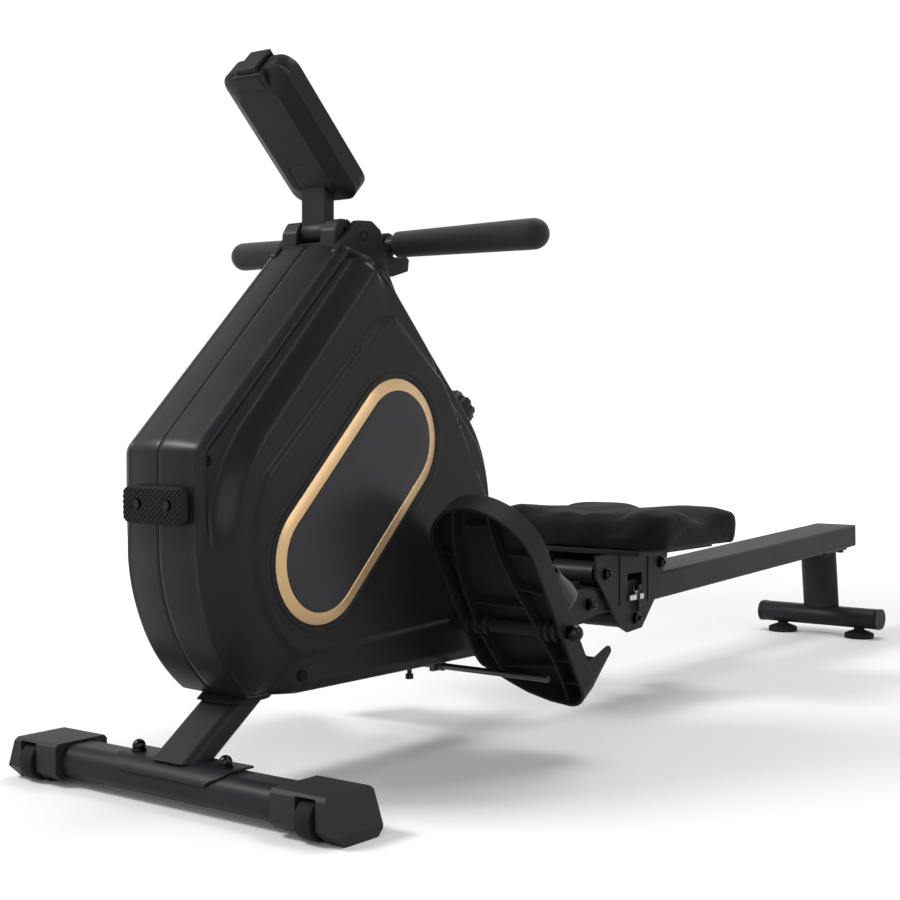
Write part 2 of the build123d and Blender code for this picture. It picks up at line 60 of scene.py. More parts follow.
def at(x, y, z):
    """One place in millimetres from the front foot, as metres in the frame."""
    return Vector((x / 1000, (y - MIDDLE) / 1000, z / 1000))


def points(array):
    """Array of millimetre points from the front foot, as metres in the frame."""
    return (np.asarray(array, float) - (0, MIDDLE, 0)) / 1000


# ---------------------------------------------------------------- small mathematics
def smooth(t):
    """Eased step from 0 to 1 as t goes from 0 to 1."""
    t = np.clip(t, 0, 1)
    return t * t * (3 - 2 * t)


def arc(centre, r, a0, a1, steps):
    """Points on a circle from angle a0 to a1, in degrees."""
    a = np.radians(np.linspace(a0, a1, steps + 1))
    return np.stack([centre[0] + r * np.cos(a), centre[1] + r * np.sin(a)], 1)


def resample(outline, count, closed=True):
    """The polyline at evenly spaced points."""
    line = np.vstack([outline, outline[:1]]) if closed else np.asarray(outline)
    run = np.r_[0, np.cumsum(np.linalg.norm(np.diff(line, axis=0), axis=1))]
    s = np.linspace(0, run[-1], count + 1)[:-1] if closed else np.linspace(0, run[-1], count)
    return np.stack([np.interp(s, run, line[:, k]) for k in range(line.shape[1])], 1)


def rounded(corners, radii, steps=8):
    """Closed outline with its corners rounded, anticlockwise."""
    corners = [np.asarray(c, float) for c in corners]
    out = []
    for i, c in enumerate(corners):
        a, b = corners[i - 1], corners[(i + 1) % len(corners)]
        u, v = (a - c) / np.linalg.norm(a - c), (b - c) / np.linalg.norm(b - c)
        r = radii[i] if hasattr(radii, "__len__") else radii
        half = math.acos(np.clip(u @ v, -1, 1)) / 2
        cut = r / math.tan(half)
        centre = c + (u + v) / np.linalg.norm(u + v) * r / math.sin(half)
        p, q = c + u * cut - centre, c + v * cut - centre
        a0 = math.atan2(p[1], p[0])
        sweep = (math.atan2(q[1], q[0]) - a0 + math.pi) % (2 * math.pi) - math.pi
        for k in range(steps + 1):
            t = a0 + sweep * k / steps
            out.append(centre + r * np.array([math.cos(t), math.sin(t)]))
    return np.array(out)


def depth_in(outline, p):
    """How far points are inside a convex anticlockwise outline; negative outside."""
    a, b = outline, np.roll(outline, -1, 0)
    d = b - a
    keep = np.linalg.norm(d, axis=1) > 1e-6
    a, d = a[keep], d[keep]
    n = np.stack([-d[:, 1], d[:, 0]], 1) / np.linalg.norm(d, axis=1)[:, None]
    best = np.full(len(p), 1e9)
    for ai, ni in zip(a, n):
        best = np.minimum(best, (p - ai) @ ni)
    return best


# ---------------------------------------------------------------- materials
def new_material(name, color, rough, metallic=0.0):
    """A Principled material, with its nodes, its links and its main shader."""
    m = bpy.data.materials.new(name)
    m.use_nodes = True
    b = m.node_tree.nodes["Principled BSDF"]
    b.inputs["Base Color"].default_value = (*color, 1)
    b.inputs["Roughness"].default_value = rough
    b.inputs["Metallic"].default_value = metallic
    b.inputs["Specular IOR Level"].default_value = 0.5 if metallic else 0.2
    b.inputs["IOR"].default_value = 1.5 if metallic else 1.38
    return m, m.node_tree.nodes, m.node_tree.links, b


def noise(nodes_, links, scale, detail=3.0, coords=None):
    n = nodes_.new("ShaderNodeTexNoise")
    n.inputs["Scale"].default_value = scale
    n.inputs["Detail"].default_value = detail
    if coords is not None:
        links.new(coords, n.inputs["Vector"])
    return n.outputs["Fac"]


def object_coords(nodes_):
    return nodes_.new("ShaderNodeTexCoord").outputs["Object"]


def vary_color(nodes_, links, b, fac, dark, light, low=0.35, high=0.65):
    """Base colour that runs from dark to light as fac goes from low to high."""
    ramp = nodes_.new("ShaderNodeValToRGB")
    ramp.color_ramp.elements[0].position = low
    ramp.color_ramp.elements[1].position = high
    ramp.color_ramp.elements[0].color = (*dark, 1)
    ramp.color_ramp.elements[1].color = (*light, 1)
    links.new(fac, ramp.inputs["Fac"])
    links.new(ramp.outputs["Color"], b.inputs["Base Color"])


def vary_rough(nodes_, links, b, fac, low, high):
    """Roughness that drifts between low and high with fac."""
    r = nodes_.new("ShaderNodeMapRange")
    r.inputs["To Min"].default_value = low
    r.inputs["To Max"].default_value = high
    links.new(fac, r.inputs["Value"])
    links.new(r.outputs["Result"], b.inputs["Roughness"])


def bump(nodes_, links, b, heights, distance, strength=1.0):
    """Stacks bump maps: heights is a list of (output, share)."""
    last = None
    for height, share in heights:
        n = nodes_.new("ShaderNodeBump")
        n.inputs["Distance"].default_value = distance
        n.inputs["Strength"].default_value = strength * share
        links.new(height, n.inputs["Height"])
        if last is not None:
            links.new(last, n.inputs["Normal"])
        last = n.outputs["Normal"]
    links.new(last, b.inputs["Normal"])


def moulded(name, color, rough, grain=900, depth=0.00006, spread=0.25, clear=0.0):
    """Injection-moulded plastic or powder coat: fine grain, patchy gloss, slight colour drift."""
    m, n, l, b = new_material(name, color, rough)
    c = object_coords(n)
    cloudy = noise(n, l, 9, 4, c)
    fine = noise(n, l, grain, 2, c)
    dark, light = [v * (1 - spread) for v in color], [v * (1 + spread) for v in color]
    vary_color(n, l, b, cloudy, dark, light)
    vary_rough(n, l, b, noise(n, l, 35, 5, c), rough - 0.05, rough + 0.05)
    bump(n, l, b, [(fine, 0.6)], depth)
    b.inputs["Coat Weight"].default_value = clear
    b.inputs["Coat Roughness"].default_value = 0.25
    return m


def metal(name, color, rough, brushed=400):
    """Plated or bare metal with fine lines across it."""
    m, n, l, b = new_material(name, color, rough, 1.0)
    c = object_coords(n)
    stretch = n.new("ShaderNodeMapping")
    stretch.inputs["Scale"].default_value = (1, 12, 12)
    l.new(c, stretch.inputs["Vector"])
    lines = noise(n, l, brushed, 3, stretch.outputs["Vector"])
    vary_rough(n, l, b, lines, rough - 0.08, rough + 0.1)
    bump(n, l, b, [(lines, 0.25)], 0.00004)
    return m


def woven(name, color, pitch=0.0016):
    """Webbing: crossed ribs with a diagonal drift."""
    m, n, l, b = new_material(name, color, 0.85)
    c = object_coords(n)
    heights = []
    for direction, share in (("X", 0.9), ("Z", 0.6)):
        w = n.new("ShaderNodeTexWave")
        w.bands_direction = direction
        w.inputs["Scale"].default_value = 0.31 / pitch
        w.inputs["Distortion"].default_value = 0.6
        l.new(c, w.inputs["Vector"])
        heights.append((w.outputs["Fac"], share))
    dark, light = [v * 0.6 for v in color], [v * 1.7 for v in color]
    vary_color(n, l, b, heights[0][0], dark, light, 0.2, 0.9)
    b.inputs["Sheen Weight"].default_value = 0.25
    bump(n, l, b, heights, 0.0003)
    return m


def vinyl(name, color):
    """Matte seat vinyl: leather-like pebble grain and soft creases."""
    m, n, l, b = new_material(name, color, 0.62)
    c = object_coords(n)
    cells = n.new("ShaderNodeTexVoronoi")
    cells.inputs["Scale"].default_value = 620
    l.new(c, cells.inputs["Vector"])
    soft = noise(n, l, 26, 5, c)
    dark, light = [v * 0.7 for v in color], [v * 1.4 for v in color]
    vary_color(n, l, b, soft, dark, light)
    vary_rough(n, l, b, soft, 0.54, 0.7)
    b.inputs["Sheen Weight"].default_value = 0.02
    b.inputs["Specular IOR Level"].default_value = 0.1
    bump(n, l, b, [(cells.outputs["Distance"], 0.5), (soft, 0.2)], 0.0003)
    return m


def foam(name, color):
    """Grip foam with fine pores."""
    m, n, l, b = new_material(name, color, 0.7)
    c = object_coords(n)
    pores = n.new("ShaderNodeTexVoronoi")
    pores.inputs["Scale"].default_value = 1100
    l.new(c, pores.inputs["Vector"])
    cloudy = noise(n, l, 20, 4, c)
    vary_color(n, l, b, cloudy, [v * 0.75 for v in color], [v * 1.35 for v in color])
    vary_rough(n, l, b, cloudy, 0.6, 0.78)
    b.inputs["Sheen Weight"].default_value = 0.15
    bump(n, l, b, [(pores.outputs["Distance"], 0.35)], 0.00018)
    return m


def gold_paint(name):
    """Satin gold with small flakes."""
    m, n, l, b = new_material(name, (0.46, 0.31, 0.16), 0.34, 0.5)
    c = object_coords(n)
    flakes = noise(n, l, 1500, 2, c)
    vary_color(n, l, b, noise(n, l, 6, 3, c), (0.42, 0.275, 0.14), (0.5, 0.34, 0.18))
    vary_rough(n, l, b, flakes, 0.28, 0.42)
    bump(n, l, b, [(flakes, 0.2)], 0.00003)
    return m


M = {
    "cover": moulded("cover_plastic", (0.0075, 0.0075, 0.0085), 0.36, 1400, 0.00003, 0.1, 0.0),
    "frame": moulded("frame_powder_coat", (0.010, 0.010, 0.0112), 0.44, 1100, 0.00007, 0.12),
    "rail": moulded("rail_powder_coat", (0.018, 0.018, 0.0195), 0.5, 1100, 0.00007, 0.12),
    "plastic": moulded("black_plastic", (0.0075, 0.0075, 0.0085), 0.46, 800, 0.00006, 0.15),
    "pedal": moulded("footplate_plastic", (0.0085, 0.0085, 0.009), 0.5, 700, 0.00008, 0.18),
    "console": moulded("console_plastic", (0.0068, 0.0068, 0.0075), 0.46, 1000, 0.00007, 0.12),
    "cap": moulded("end_cap_plastic", (0.018, 0.018, 0.019), 0.5, 420, 0.00014, 0.18),
    "panel": moulded("panel_film", (0.016, 0.016, 0.018), 0.3, 1600, 0.00002, 0.08, 0.15),
    "rubber": moulded("black_rubber", (0.008, 0.008, 0.0085), 0.72, 600, 0.0001, 0.2),
    "roller": moulded("roller_plastic", (0.010, 0.010, 0.0105), 0.4, 900, 0.00004, 0.15),
    "bolt": metal("black_zinc", (0.02, 0.02, 0.022), 0.24),
    "steel": metal("dark_plate", (0.10, 0.10, 0.105), 0.34),
    "bright": metal("bright_steel", (0.5, 0.5, 0.52), 0.3),
    "iron": metal("machined_iron", (0.2, 0.2, 0.2), 0.4),
    "web": woven("webbing", (0.004, 0.004, 0.0043)),
    "vinyl": vinyl("seat_vinyl", (0.0035, 0.0035, 0.004)),
    "foam": foam("grip_foam", (0.006, 0.006, 0.0066)),
    "gold": gold_paint("gold_trim"),
    # painted shade: a black darker than the cover plastic, for the screw cups' recesses
    "dark": moulded("screw_cup_painted_shade_black", (0.002, 0.002, 0.002), 0.7, 600, 0.00005, 0.1),
    "lens": moulded("display_window", (0.02, 0.024, 0.022), 0.12, 900, 0.000004, 0.1, 0.6),
}

NODE_MATERIALS = {
    "frame": ["front_foot_tube", "front_post", "main_beam", "side_plates", "rear_leg", "carriage_plates",
              "handlebar_tube"],
    "rail": ["rail"],
    "bolt": ["frame_fasteners", "rear_bolts", "carriage_axles", "shafts_and_pins"],
    "steel": ["pedal_axle", "stop_rod", "recoil_spring"],
    "iron": ["flywheel"],
    "cover": ["cover_left", "cover_right"],
    "gold": ["trim_rings"],
    "panel": ["oval_panels"],
    "plastic": ["boot_collar", "rear_end_caps", "console_bracket", "handlebar_rest", "strap_outlet",
                "drive_pulley", "strap_spool", "magnet_bracket", "tension_knob", "fold_lock_knob",
                "strap_connector", "axle_bushes", "seat_pan", "console_stalk", "battery_door", "phone_clip"],
    "cap": ["front_end_caps"],
    "pedal": ["footplate_left", "footplate_right"],
    "console": ["console_rear_shell", "console_bezel"],
    "rubber": ["standing_pad", "transport_wheel_left", "transport_wheel_right", "drive_belt", "seat_stops",
               "levelling_foot_left", "levelling_foot_right", "button_mode", "button_set", "button_reset"],
    "roller": ["roller_front", "roller_rear", "roller_lower"],
    "web": ["pull_strap", "foot_strap_left", "foot_strap_right"],
    "foam": ["grips"],
    "vinyl": ["seat_pad"],
    "lens": ["display_lens"],
}


# Radius of the rounded edges on CAD nodes, in millimetres.
EDGE_WIDTHS = {
    "front_end_caps": 1.6, "console_rear_shell": 2.0, "console_bezel": 2.0, "console_bracket": 1.6,
    "handlebar_rest": 1.5, "carriage_plates": 0.6, "tension_knob": 1.2, "rear_end_caps": 1.5,
    "boot_collar": 1.2, "console_stalk": 1.0, "phone_clip": 0.6, "strap_outlet": 1.0,
    "transport_wheel_left": 1.5, "transport_wheel_right": 1.5, "seat_pan": 1.0, "rail": 1.6,
    "rear_leg": 0.6,
}


# ---------------------------------------------------------------- mesh helpers
def make_object(name, verts, faces, material, smooth_angle=35.0):
    """A smooth-shaded mesh that keeps edges sharper than smooth_angle."""
    mesh = bpy.data.meshes.new(name)
    mesh.from_pydata([tuple(v) for v in verts], [], [tuple(f) for f in faces])
    mesh.validate()
    mesh.materials.append(M[material])
    for p in mesh.polygons:
        p.use_smooth = True
    mesh.set_sharp_from_angle(angle=math.radians(smooth_angle))
    obj = bpy.data.objects.new(name, mesh)
    bpy.context.scene.collection.objects.link(obj)
    return obj


def grid_faces(rows, cols, wrap_rows=False, wrap_cols=False):
    """Quads of a rows x cols grid of vertices."""
    faces = []
    for i in range(rows if wrap_rows else rows - 1):
        for j in range(cols if wrap_cols else cols - 1):
            here, below = i * cols, (i + 1) % rows * cols
            after = (j + 1) % cols
            faces.append((here + j, below + j, below + after, here + after))
    return faces


def grid_object(name, grid, material, wrap_rows=False, wrap_cols=False, flip=False, smooth_angle=35.0):
    """A surface through a rows x cols grid of frame points."""
    rows, cols = grid.shape[:2]
    faces = grid_faces(rows, cols, wrap_rows, wrap_cols)
    if flip:
        faces = [f[::-1] for f in faces]
    return make_object(name, grid.reshape(-1, 3), faces, material, smooth_angle)


def apply_modifiers(obj):
    """Bakes the piece's modifiers into its mesh."""
    dg = bpy.context.evaluated_depsgraph_get()
    mesh = bpy.data.meshes.new_from_object(obj.evaluated_get(dg))
    obj.modifiers.clear()
    obj.data = mesh
    return obj


def fix_normals(obj, merge=False):
    """Turns all faces outwards, after merging vertices that coincide if asked."""
    bm = bmesh.new()
    bm.from_mesh(obj.data)
    if merge:
        bmesh.ops.remove_doubles(bm, verts=bm.verts, dist=0.00001)
    bmesh.ops.recalc_face_normals(bm, faces=bm.faces)
    bm.to_mesh(obj.data)
    bm.free()


def solidify(obj, name, thickness, offset):
    """Turns a surface into a wall for good, thickness in millimetres."""
    wall = obj.modifiers.new(name, "SOLIDIFY")
    wall.thickness = thickness / 1000
    wall.offset = offset
    return apply_modifiers(obj)


def mirror_object(obj, name):
    """A copy on the other side of the machine."""
    mesh = obj.data.copy()
    mesh.transform(Matrix.Scale(-1, 4, (1, 0, 0)))
    mesh.flip_normals()
    twin = bpy.data.objects.new(name, mesh)
    bpy.context.scene.collection.objects.link(twin)
    return twin


def soften(node, width=0.8, segments=2, angle=32):
    """Rounds the sharp edges of a CAD node with modifiers; its mesh stays as it is."""
    obj = nodes[node]
    weld = obj.modifiers.new("weld", "WELD")
    weld.merge_threshold = 0.00002
    bevel = obj.modifiers.new("bevel", "BEVEL")
    bevel.width = width / 1000
    bevel.segments = segments
    bevel.limit_method = "ANGLE"
    bevel.angle_limit = math.radians(angle)
    bevel.harden_normals = True
    bevel.use_clamp_overlap = True


def dress_cad_nodes():
    """Gives each CAD node its material."""
    for key, names in NODE_MATERIALS.items():
        for name in names:
            slots = nodes[name].data.materials
            slots.clear()
            slots.append(M[key])


# ---------------------------------------------------------------- solid pieces from outlines
def bevelled(obj, width, segments=2, angle=32):
    """Rounds a piece's sharp edges for good."""
    bevel = obj.modifiers.new("bevel", "BEVEL")
    bevel.width = width / 1000
    bevel.segments = segments
    bevel.limit_method = "ANGLE"
    bevel.angle_limit = math.radians(angle)
    bevel.harden_normals = True
    return apply_modifiers(obj)


def prism(name, base, lift, material, bevel=0.0):
    """Solid between an outline of points (n x 3, mm) and its copy moved by lift."""
    base = np.asarray(base, float)
    n = len(base)
    verts = points(np.vstack([base, base + lift]))
    faces = [tuple(range(n))[::-1], tuple(range(n, 2 * n))]
    faces += [(k, (k + 1) % n, n + (k + 1) % n, n + k) for k in range(n)]
    obj = make_object(name, verts, faces, material)
    fix_normals(obj)
    return bevelled(obj, bevel) if bevel else obj


def side_prism(name, outline, x0, x1, material, bevel=0.0):
    """Plate across X from a (Y, Z) outline."""
    outline = np.asarray(outline, float)
    base = np.column_stack([np.full(len(outline), x0), outline])
    return prism(name, base, (x1 - x0, 0, 0), material, bevel)


def tube_along_x(name, radii, xs, centre, material, count=48):
    """Turned piece on an axis along X: radius and X pairs, in millimetres."""
    a = np.linspace(0, 2 * math.pi, count, endpoint=False)
    rows = [np.column_stack([np.full(count, x), centre[0] + r * np.cos(a), centre[1] + r * np.sin(a)])
            for r, x in zip(radii, xs)]
    obj = grid_object(name, points(np.stack(rows)), material, wrap_cols=True)
    fix_normals(obj)
    return obj


def tube_upright(name, profile, centre, material, count=48):
    """Turned piece on an upright axis: profile is (radius, Z) pairs."""
    a = np.linspace(0, 2 * math.pi, count, endpoint=False)
    rows = [np.column_stack([centre[0] + r * np.cos(a), centre[1] + r * np.sin(a), np.full(count, z)])
            for r, z in profile]
    obj = grid_object(name, points(np.stack(rows)), material, wrap_cols=True)
    fix_normals(obj)
    return obj


def join(objs, name):
    """Makes one object of several."""
    for o in bpy.context.selected_objects:
        o.select_set(False)
    for o in objs:
        o.select_set(True)
    bpy.context.view_layer.objects.active = objs[0]
    bpy.ops.object.join()
    objs[0].name = name
    return objs[0]


def ride_pair(obj, stem, body, node=None):
    """Places a left piece and its mirror image; body and node may hold {} for the side."""
    for side, piece in (("left", obj), ("right", mirror_object(obj, stem + "_right"))):
        piece.name = f"{stem}_{side}"
        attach(piece, body.format(side))
        if node:
            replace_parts(piece, node.format(side))


# ---------------------------------------------------------------- tower covers
HUB = (182.0, 280.0)           # centre of the tower's round front, (Y, Z)
HUB_R = 214.0
REAR_ARC, REAR_R = (326.0, 299.0), 169.0
CENTRE = np.array([205.0, 320.0])                      # where the rows of the cover's skin run together
SEAM, SPINE, SHOULDER, PLATEAU = 1.1, 47.0, 77.0, 82.0    # X of the cover's steps, from the middle out
RING_A, RING_B = np.array((262.0, 387.0)), np.array((131.0, 258.0))   # ends of the oval's middle line


def tower_outline():
    """Side outline of the tower, (Y, Z): slope, blunt nose, round belly, heel and round rear."""
    top = rounded([(202, 617), (-32, 385), (-32, 200), (230, 300), (340, 480), (279, 592), (250, 606)],
                  [12, 24, 1, 1, 1, 10, 8], 6)
    keep = np.concatenate([top[:14], top[35:]])
    front = arc(HUB, HUB_R, 180, 231.7, 26)
    heel = arc((461, 146), 34, 270, 360, 8)
    rear = arc(REAR_ARC, REAR_R, 0, 43.6, 14)
    return np.vstack([keep[:14], front, [(58, 112)], heel, rear, keep[14:]])


def bulge_outline():
    """Outline inside which the side swells out past the slope's valley."""
    front = arc(HUB, 196, 136, 250, 40)
    rear = arc(REAR_ARC, REAR_R - 18, -60, 37, 20)
    top = rounded([(318, 508), (235, 618), (60, 443)], [2, 24, 2], 10)[11:22]
    return np.vstack([front, rear, top])


def plateau_outline():
    """Outline of the raised field round the oval panel."""
    front = arc(HUB, 152, 150, 236, 24)
    low = rounded([(60, 169), (470, 169), (470, 250)], [2, 30, 2], 8)[9:18]
    rear = arc(REAR_ARC, REAR_R - 22, -20, 36, 14)
    top = rounded([(330, 470), (252, 541), (60, 350)], [2, 34, 2], 12)[13:26]
    return np.vstack([front, low, rear, top])


def turn(a, b, c):
    """Twice the area of the triangle a, b, c: positive for a left turn."""
    return (b[0] - a[0]) * (c[1] - a[1]) - (b[1] - a[1]) * (c[0] - a[0])


def hull(outline):
    """Convex hull of a set of points, anticlockwise."""
    pts = sorted(map(tuple, outline))
    ends = []
    for run in (pts, pts[::-1]):
        chain = []
        for q in run:
            while len(chain) > 1 and turn(chain[-2], chain[-1], q) <= 1e-9:
                chain.pop()
            chain.append(q)
        ends += chain[:-1]
    return np.array(ends)


def stadium(r, count=220):
    """Oval of radius r round the line from RING_A to RING_B."""
    u = (RING_A - RING_B) / np.linalg.norm(RING_A - RING_B)
    a = math.degrees(math.atan2(u[1], u[0]))
    line = np.vstack([arc(RING_A, r, a - 90, a + 90, 48), arc(RING_B, r, a + 90, a + 270, 48)])
    return resample(line, count)


OUTLINE, RING_ZONE = tower_outline(), stadium(88, 160)
BULGE, FIELD = hull(bulge_outline()), hull(plateau_outline())


def side_height(p, rim):
    """Distance of the left cover's skin from the machine's middle plane, at points p (Y, Z) that lie
    inward of the outline points rim."""
    y, z = rim[:, 0], rim[:, 1]
    d = np.maximum(depth_in(OUTLINE, p), 0)
    inside = depth_in(BULGE, p)
    slope = smooth((z - 262) / 55) * smooth((268 - y) / 34)
    rear = smooth((y - 246) / 30) * smooth((z - 150) / 50)
    low = smooth((152 - z) / 24) * smooth((y - 66) / 40)
    front = np.clip(1 - slope - rear - low, 0, 1)
    on_slope = SPINE + 13 * smooth((d - 1.5) / 8) - 7 * smooth((d - 11) / 8) + 24 * smooth(inside / 26)
    on_rear = SPINE + 13 * smooth((d - 0.5) / 8) + 17 * smooth(inside / 15)
    on_front = SPINE + 2 + 28 * (1 - (1 - np.clip(d / 58, 0, 1)) ** 2.3)
    on_low = 73 + 4 * smooth(d / 14)
    height = slope * on_slope + rear * on_rear + front * on_front + low * on_low
    step = smooth((depth_in(FIELD, p) + 3) / 7)
    height = np.minimum(height, SHOULDER) + (PLATEAU - SHOULDER) * step
    flat = smooth(depth_in(RING_ZONE, p) / 4)
    return height * (1 - flat) + PLATEAU * flat


def cover_grid():
    """Skin of the left cover, from the seam along its spine to the middle of its side."""
    count = 560
    line = resample(OUTLINE, count)
    tangent = np.roll(line, -1, 0) - np.roll(line, 1, 0)
    tangent /= np.linalg.norm(tangent, axis=1)[:, None]
    inward = np.stack([-tangent[:, 1], tangent[:, 0]], 1)
    to_centre = CENTRE - line
    reach = np.linalg.norm(to_centre, axis=1)[:, None]
    slant = np.clip((inward * to_centre / reach).sum(1), 0.3, 1)[:, None]
    crown = 3.2 * smooth((line[:, 1] - 150) / 80) * smooth((240 - line[:, 0]) / 40) + 0.8
    corner = 4.0
    edge = side_height(line + to_centre / reach / slant * corner, line)
    seam = ((0.3, 1.3), (0.55, 0.35), (SEAM, 0.0))        # X and depth of the groove between the covers
    rows = [np.column_stack([np.full(count, x), line + inward * depth]) for x, depth in seam]
    for t in np.linspace(0.1, 1, 9):
        x = SEAM + (edge - corner - SEAM) * t
        rows.append(np.column_stack([x, line + inward * (crown * t * t)[:, None]]))
    for a in np.radians([25, 50, 72]):
        inn = crown + (corner - crown) * (1 - math.cos(a))
        rows.append(np.column_stack([edge - corner + corner * math.sin(a), line + inward * inn[:, None]]))
    for depth in np.r_[np.linspace(corner, 34, 21), np.linspace(36, 56, 9)]:
        p = line + to_centre / reach / slant * depth
        over = np.linalg.norm(p - line, axis=1)[:, None] / reach
        p = np.where(over > 0.8, line + to_centre * 0.8, p)
        rows.append(np.column_stack([side_height(p, line), p]))
    last = rows[-1][:, 1:]
    for t in np.linspace(0, 1, 74)[1:]:
        p = last + (CENTRE - last) * t * 0.998
        rows.append(np.column_stack([side_height(p, line), p]))
    return points(np.stack(rows))


def stadium_band(name, profile, material, count=260, fill=False):
    """A ring that follows the stadium: profile is (radius, X) pairs across it. fill closes its middle."""
    rows = np.stack([np.column_stack([np.full(count, x), stadium(r, count)]) for r, x in profile])
    faces = grid_faces(len(rows), count, wrap_cols=True)
    if fill:
        faces.append(tuple(range((len(rows) - 1) * count, len(rows) * count)))
    obj = make_object(name, points(rows).reshape(-1, 3), faces, material)
    fix_normals(obj, merge=True)
    return obj


SCREW_CUPS = [(52.2, (240, 625)), (54, (-14, 370)), (59, (366, 466)), (77, (107, 132))]   # X and (Y, Z)


def cup_screw(x, centre):
    """Screw cup with a rim, seen end on from the side, in a black darker than the cover as painted shade in
    its recess.
    """
    radii = [6.4, 6.2, 5.4, 5.0, 4.4, 3.6, 3.4, 1.8, 1.6, 0.01]
    depths = [-1.5, 0.5, 0.9, 0.4, -2.2, -2.4, -0.6, -0.4, -1.6, -1.8]
    return tube_along_x("cup", radii, [x + d for d in depths], centre, "dark", 32)


def build_covers():
    """Left and right shells with their ears, screw cups, gold rings and dark oval panels."""
    shell = grid_object("tower_cover_left", cover_grid(), "cover", wrap_cols=True, flip=True, smooth_angle=50)
    solidify(shell, "wall", 2.2, -1)
    ear = rounded([(196, 592), (283, 586), (279, 611), (271, 634), (255, 643.5), (228, 642), (190, 603.5)],
                  [2, 4, 5, 7, 8, 9, 3], 6)
    lug = side_prism("lug", ear, 42.6, 52, "cover", 4.0)
    cover = join([shell, lug], "tower_cover_left")
    ride_pair(cover, "tower_cover", "frame", "cover_{}")
    cups = join([cup_screw(x, centre) for x, centre in SCREW_CUPS], "cover_screws_left")
    ride_pair(cups, "cover_screws", "frame")
    profile = [(72, 81), (72, 82.6), (71.3, 83.2), (58.7, 85.9), (58.1, 85.5), (58, 81)]
    ring = stadium_band("ring", profile, "gold")
    ride_pair(ring, "gold_ring", "frame", "trim_rings")
    profile = [(57.5, 81), (57.5, 85.2), (56.8, 85.9), (50, 86.3), (40, 86.5)]
    panel = stadium_band("panel", profile, "panel", fill=True)
    ride_pair(panel, "oval_panel", "frame", "oval_panels")
    profile = [(87, 81.4), (86.5, 82.3), (80.8, 82.5), (80.3, 81.7), (79.3, 81.7), (78.8, 82.9), (74.3, 83.2),
               (73.3, 82.7), (73.1, 81.0)]
    ride_pair(stadium_band("surround", profile, "cover"), "ring_surround", "frame")


# ---------------------------------------------------------------- standing pad
def build_standing_pad():
    """Rubber pad with rows of small pyramids and two sunk screws."""
    half_w, half_h, mid = 46.0, 20.0, 323.0
    round_, screw_x, screw_z = 9.0, 23.0, 1.0
    pitch, steep = 7.2, 1.25
    xs, zs = np.linspace(-half_w, half_w, 185), np.linspace(-half_h, half_h, 81)
    x, z = np.meshgrid(xs, zs)
    u, v = (x + z * steep) / pitch, (x - z * steep) / pitch
    pyramid = 1 - 2 * np.maximum(np.abs(u - np.floor(u) - 0.5), np.abs(v - np.floor(v) - 0.5))
    over_x, over_z = np.abs(x) - half_w + round_, np.abs(z) - half_h + round_
    corner = np.hypot(np.maximum(over_x, 0), np.maximum(over_z, 0))
    side = np.clip(np.maximum(over_x, over_z), 0, round_)
    inset_by = np.clip(round_ - np.maximum(side, corner), 0, round_)
    relief = 2.6 * np.minimum(pyramid * 1.5, 0.75) * smooth((inset_by - 0.6) / 2)
    cup = np.minimum(np.hypot(x - screw_x, z - screw_z), np.hypot(x + screw_x, z - screw_z))
    relief = relief * smooth((cup - 7) / 1.5) - 1.5 * (1 - smooth((cup - 5.2) / 1.2))
    face = -40.6 - relief + 2.5 * smooth((1.6 - inset_by) / 1.6)
    scale = np.where(corner > round_, round_ / np.maximum(corner, 1e-6), 1)
    px = np.where(over_x > 0, np.sign(x) * (half_w - round_ + over_x * scale), x)
    pz = np.where(over_z > 0, np.sign(z) * (half_h - round_ + over_z * scale), z)
    top = np.stack([px, face, pz + mid], -1)
    pad = grid_object("pad_face", points(top), "rubber", smooth_angle=18)
    rim = rounded([(-half_w, -half_h), (half_w, -half_h), (half_w, half_h), (-half_w, half_h)], round_, 8)
    base = np.column_stack([rim[:, 0], np.full(len(rim), -39.2), rim[:, 1] + mid])
    body = prism("pad_body", base, (0, 7.0, 0), "rubber", 0.8)
    pad = join([pad, body], "standing_pad_rubber")
    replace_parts(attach(pad, "frame"), "standing_pad")


# ---------------------------------------------------------------- footplates
AXLE = (388.0, 162.0)          # footplate axle, (Y, Z)
COS, SIN = 0.53, 0.848         # of the sole's slope, 58 degrees from the floor
PEDAL_MID = 165.5              # X of the left footplate's middle


def on_pedal(x, v, w):
    """Footplate frame: x across, v down towards the heel, w out of the face that carries the foot."""
    x, v, w = np.broadcast_arrays(np.asarray(x, float), v, w)
    return np.stack([x, AXLE[0] + COS * v + SIN * w, AXLE[1] - SIN * v + COS * w], -1)


def pedal_outline():
    """Edge of the left sole, as (x, v) points: round toe, curved heel that is cut away on the inside."""
    half_turn = np.radians(np.linspace(0, 180, 40))
    toe = [(PEDAL_MID + 72.5 * math.cos(a), -110 - 73 * math.sin(a)) for a in half_turn]
    heel = [(93, 40), (97, 56), (112, 66), (130, 78), (155, 93), (185, 103), (212, 107)]
    corner = [(212 + 26 * math.sin(a), 81 + 26 * math.cos(a)) for a in np.radians(np.linspace(0, 90, 10))]
    return resample(np.array(toe + heel + corner), 200)


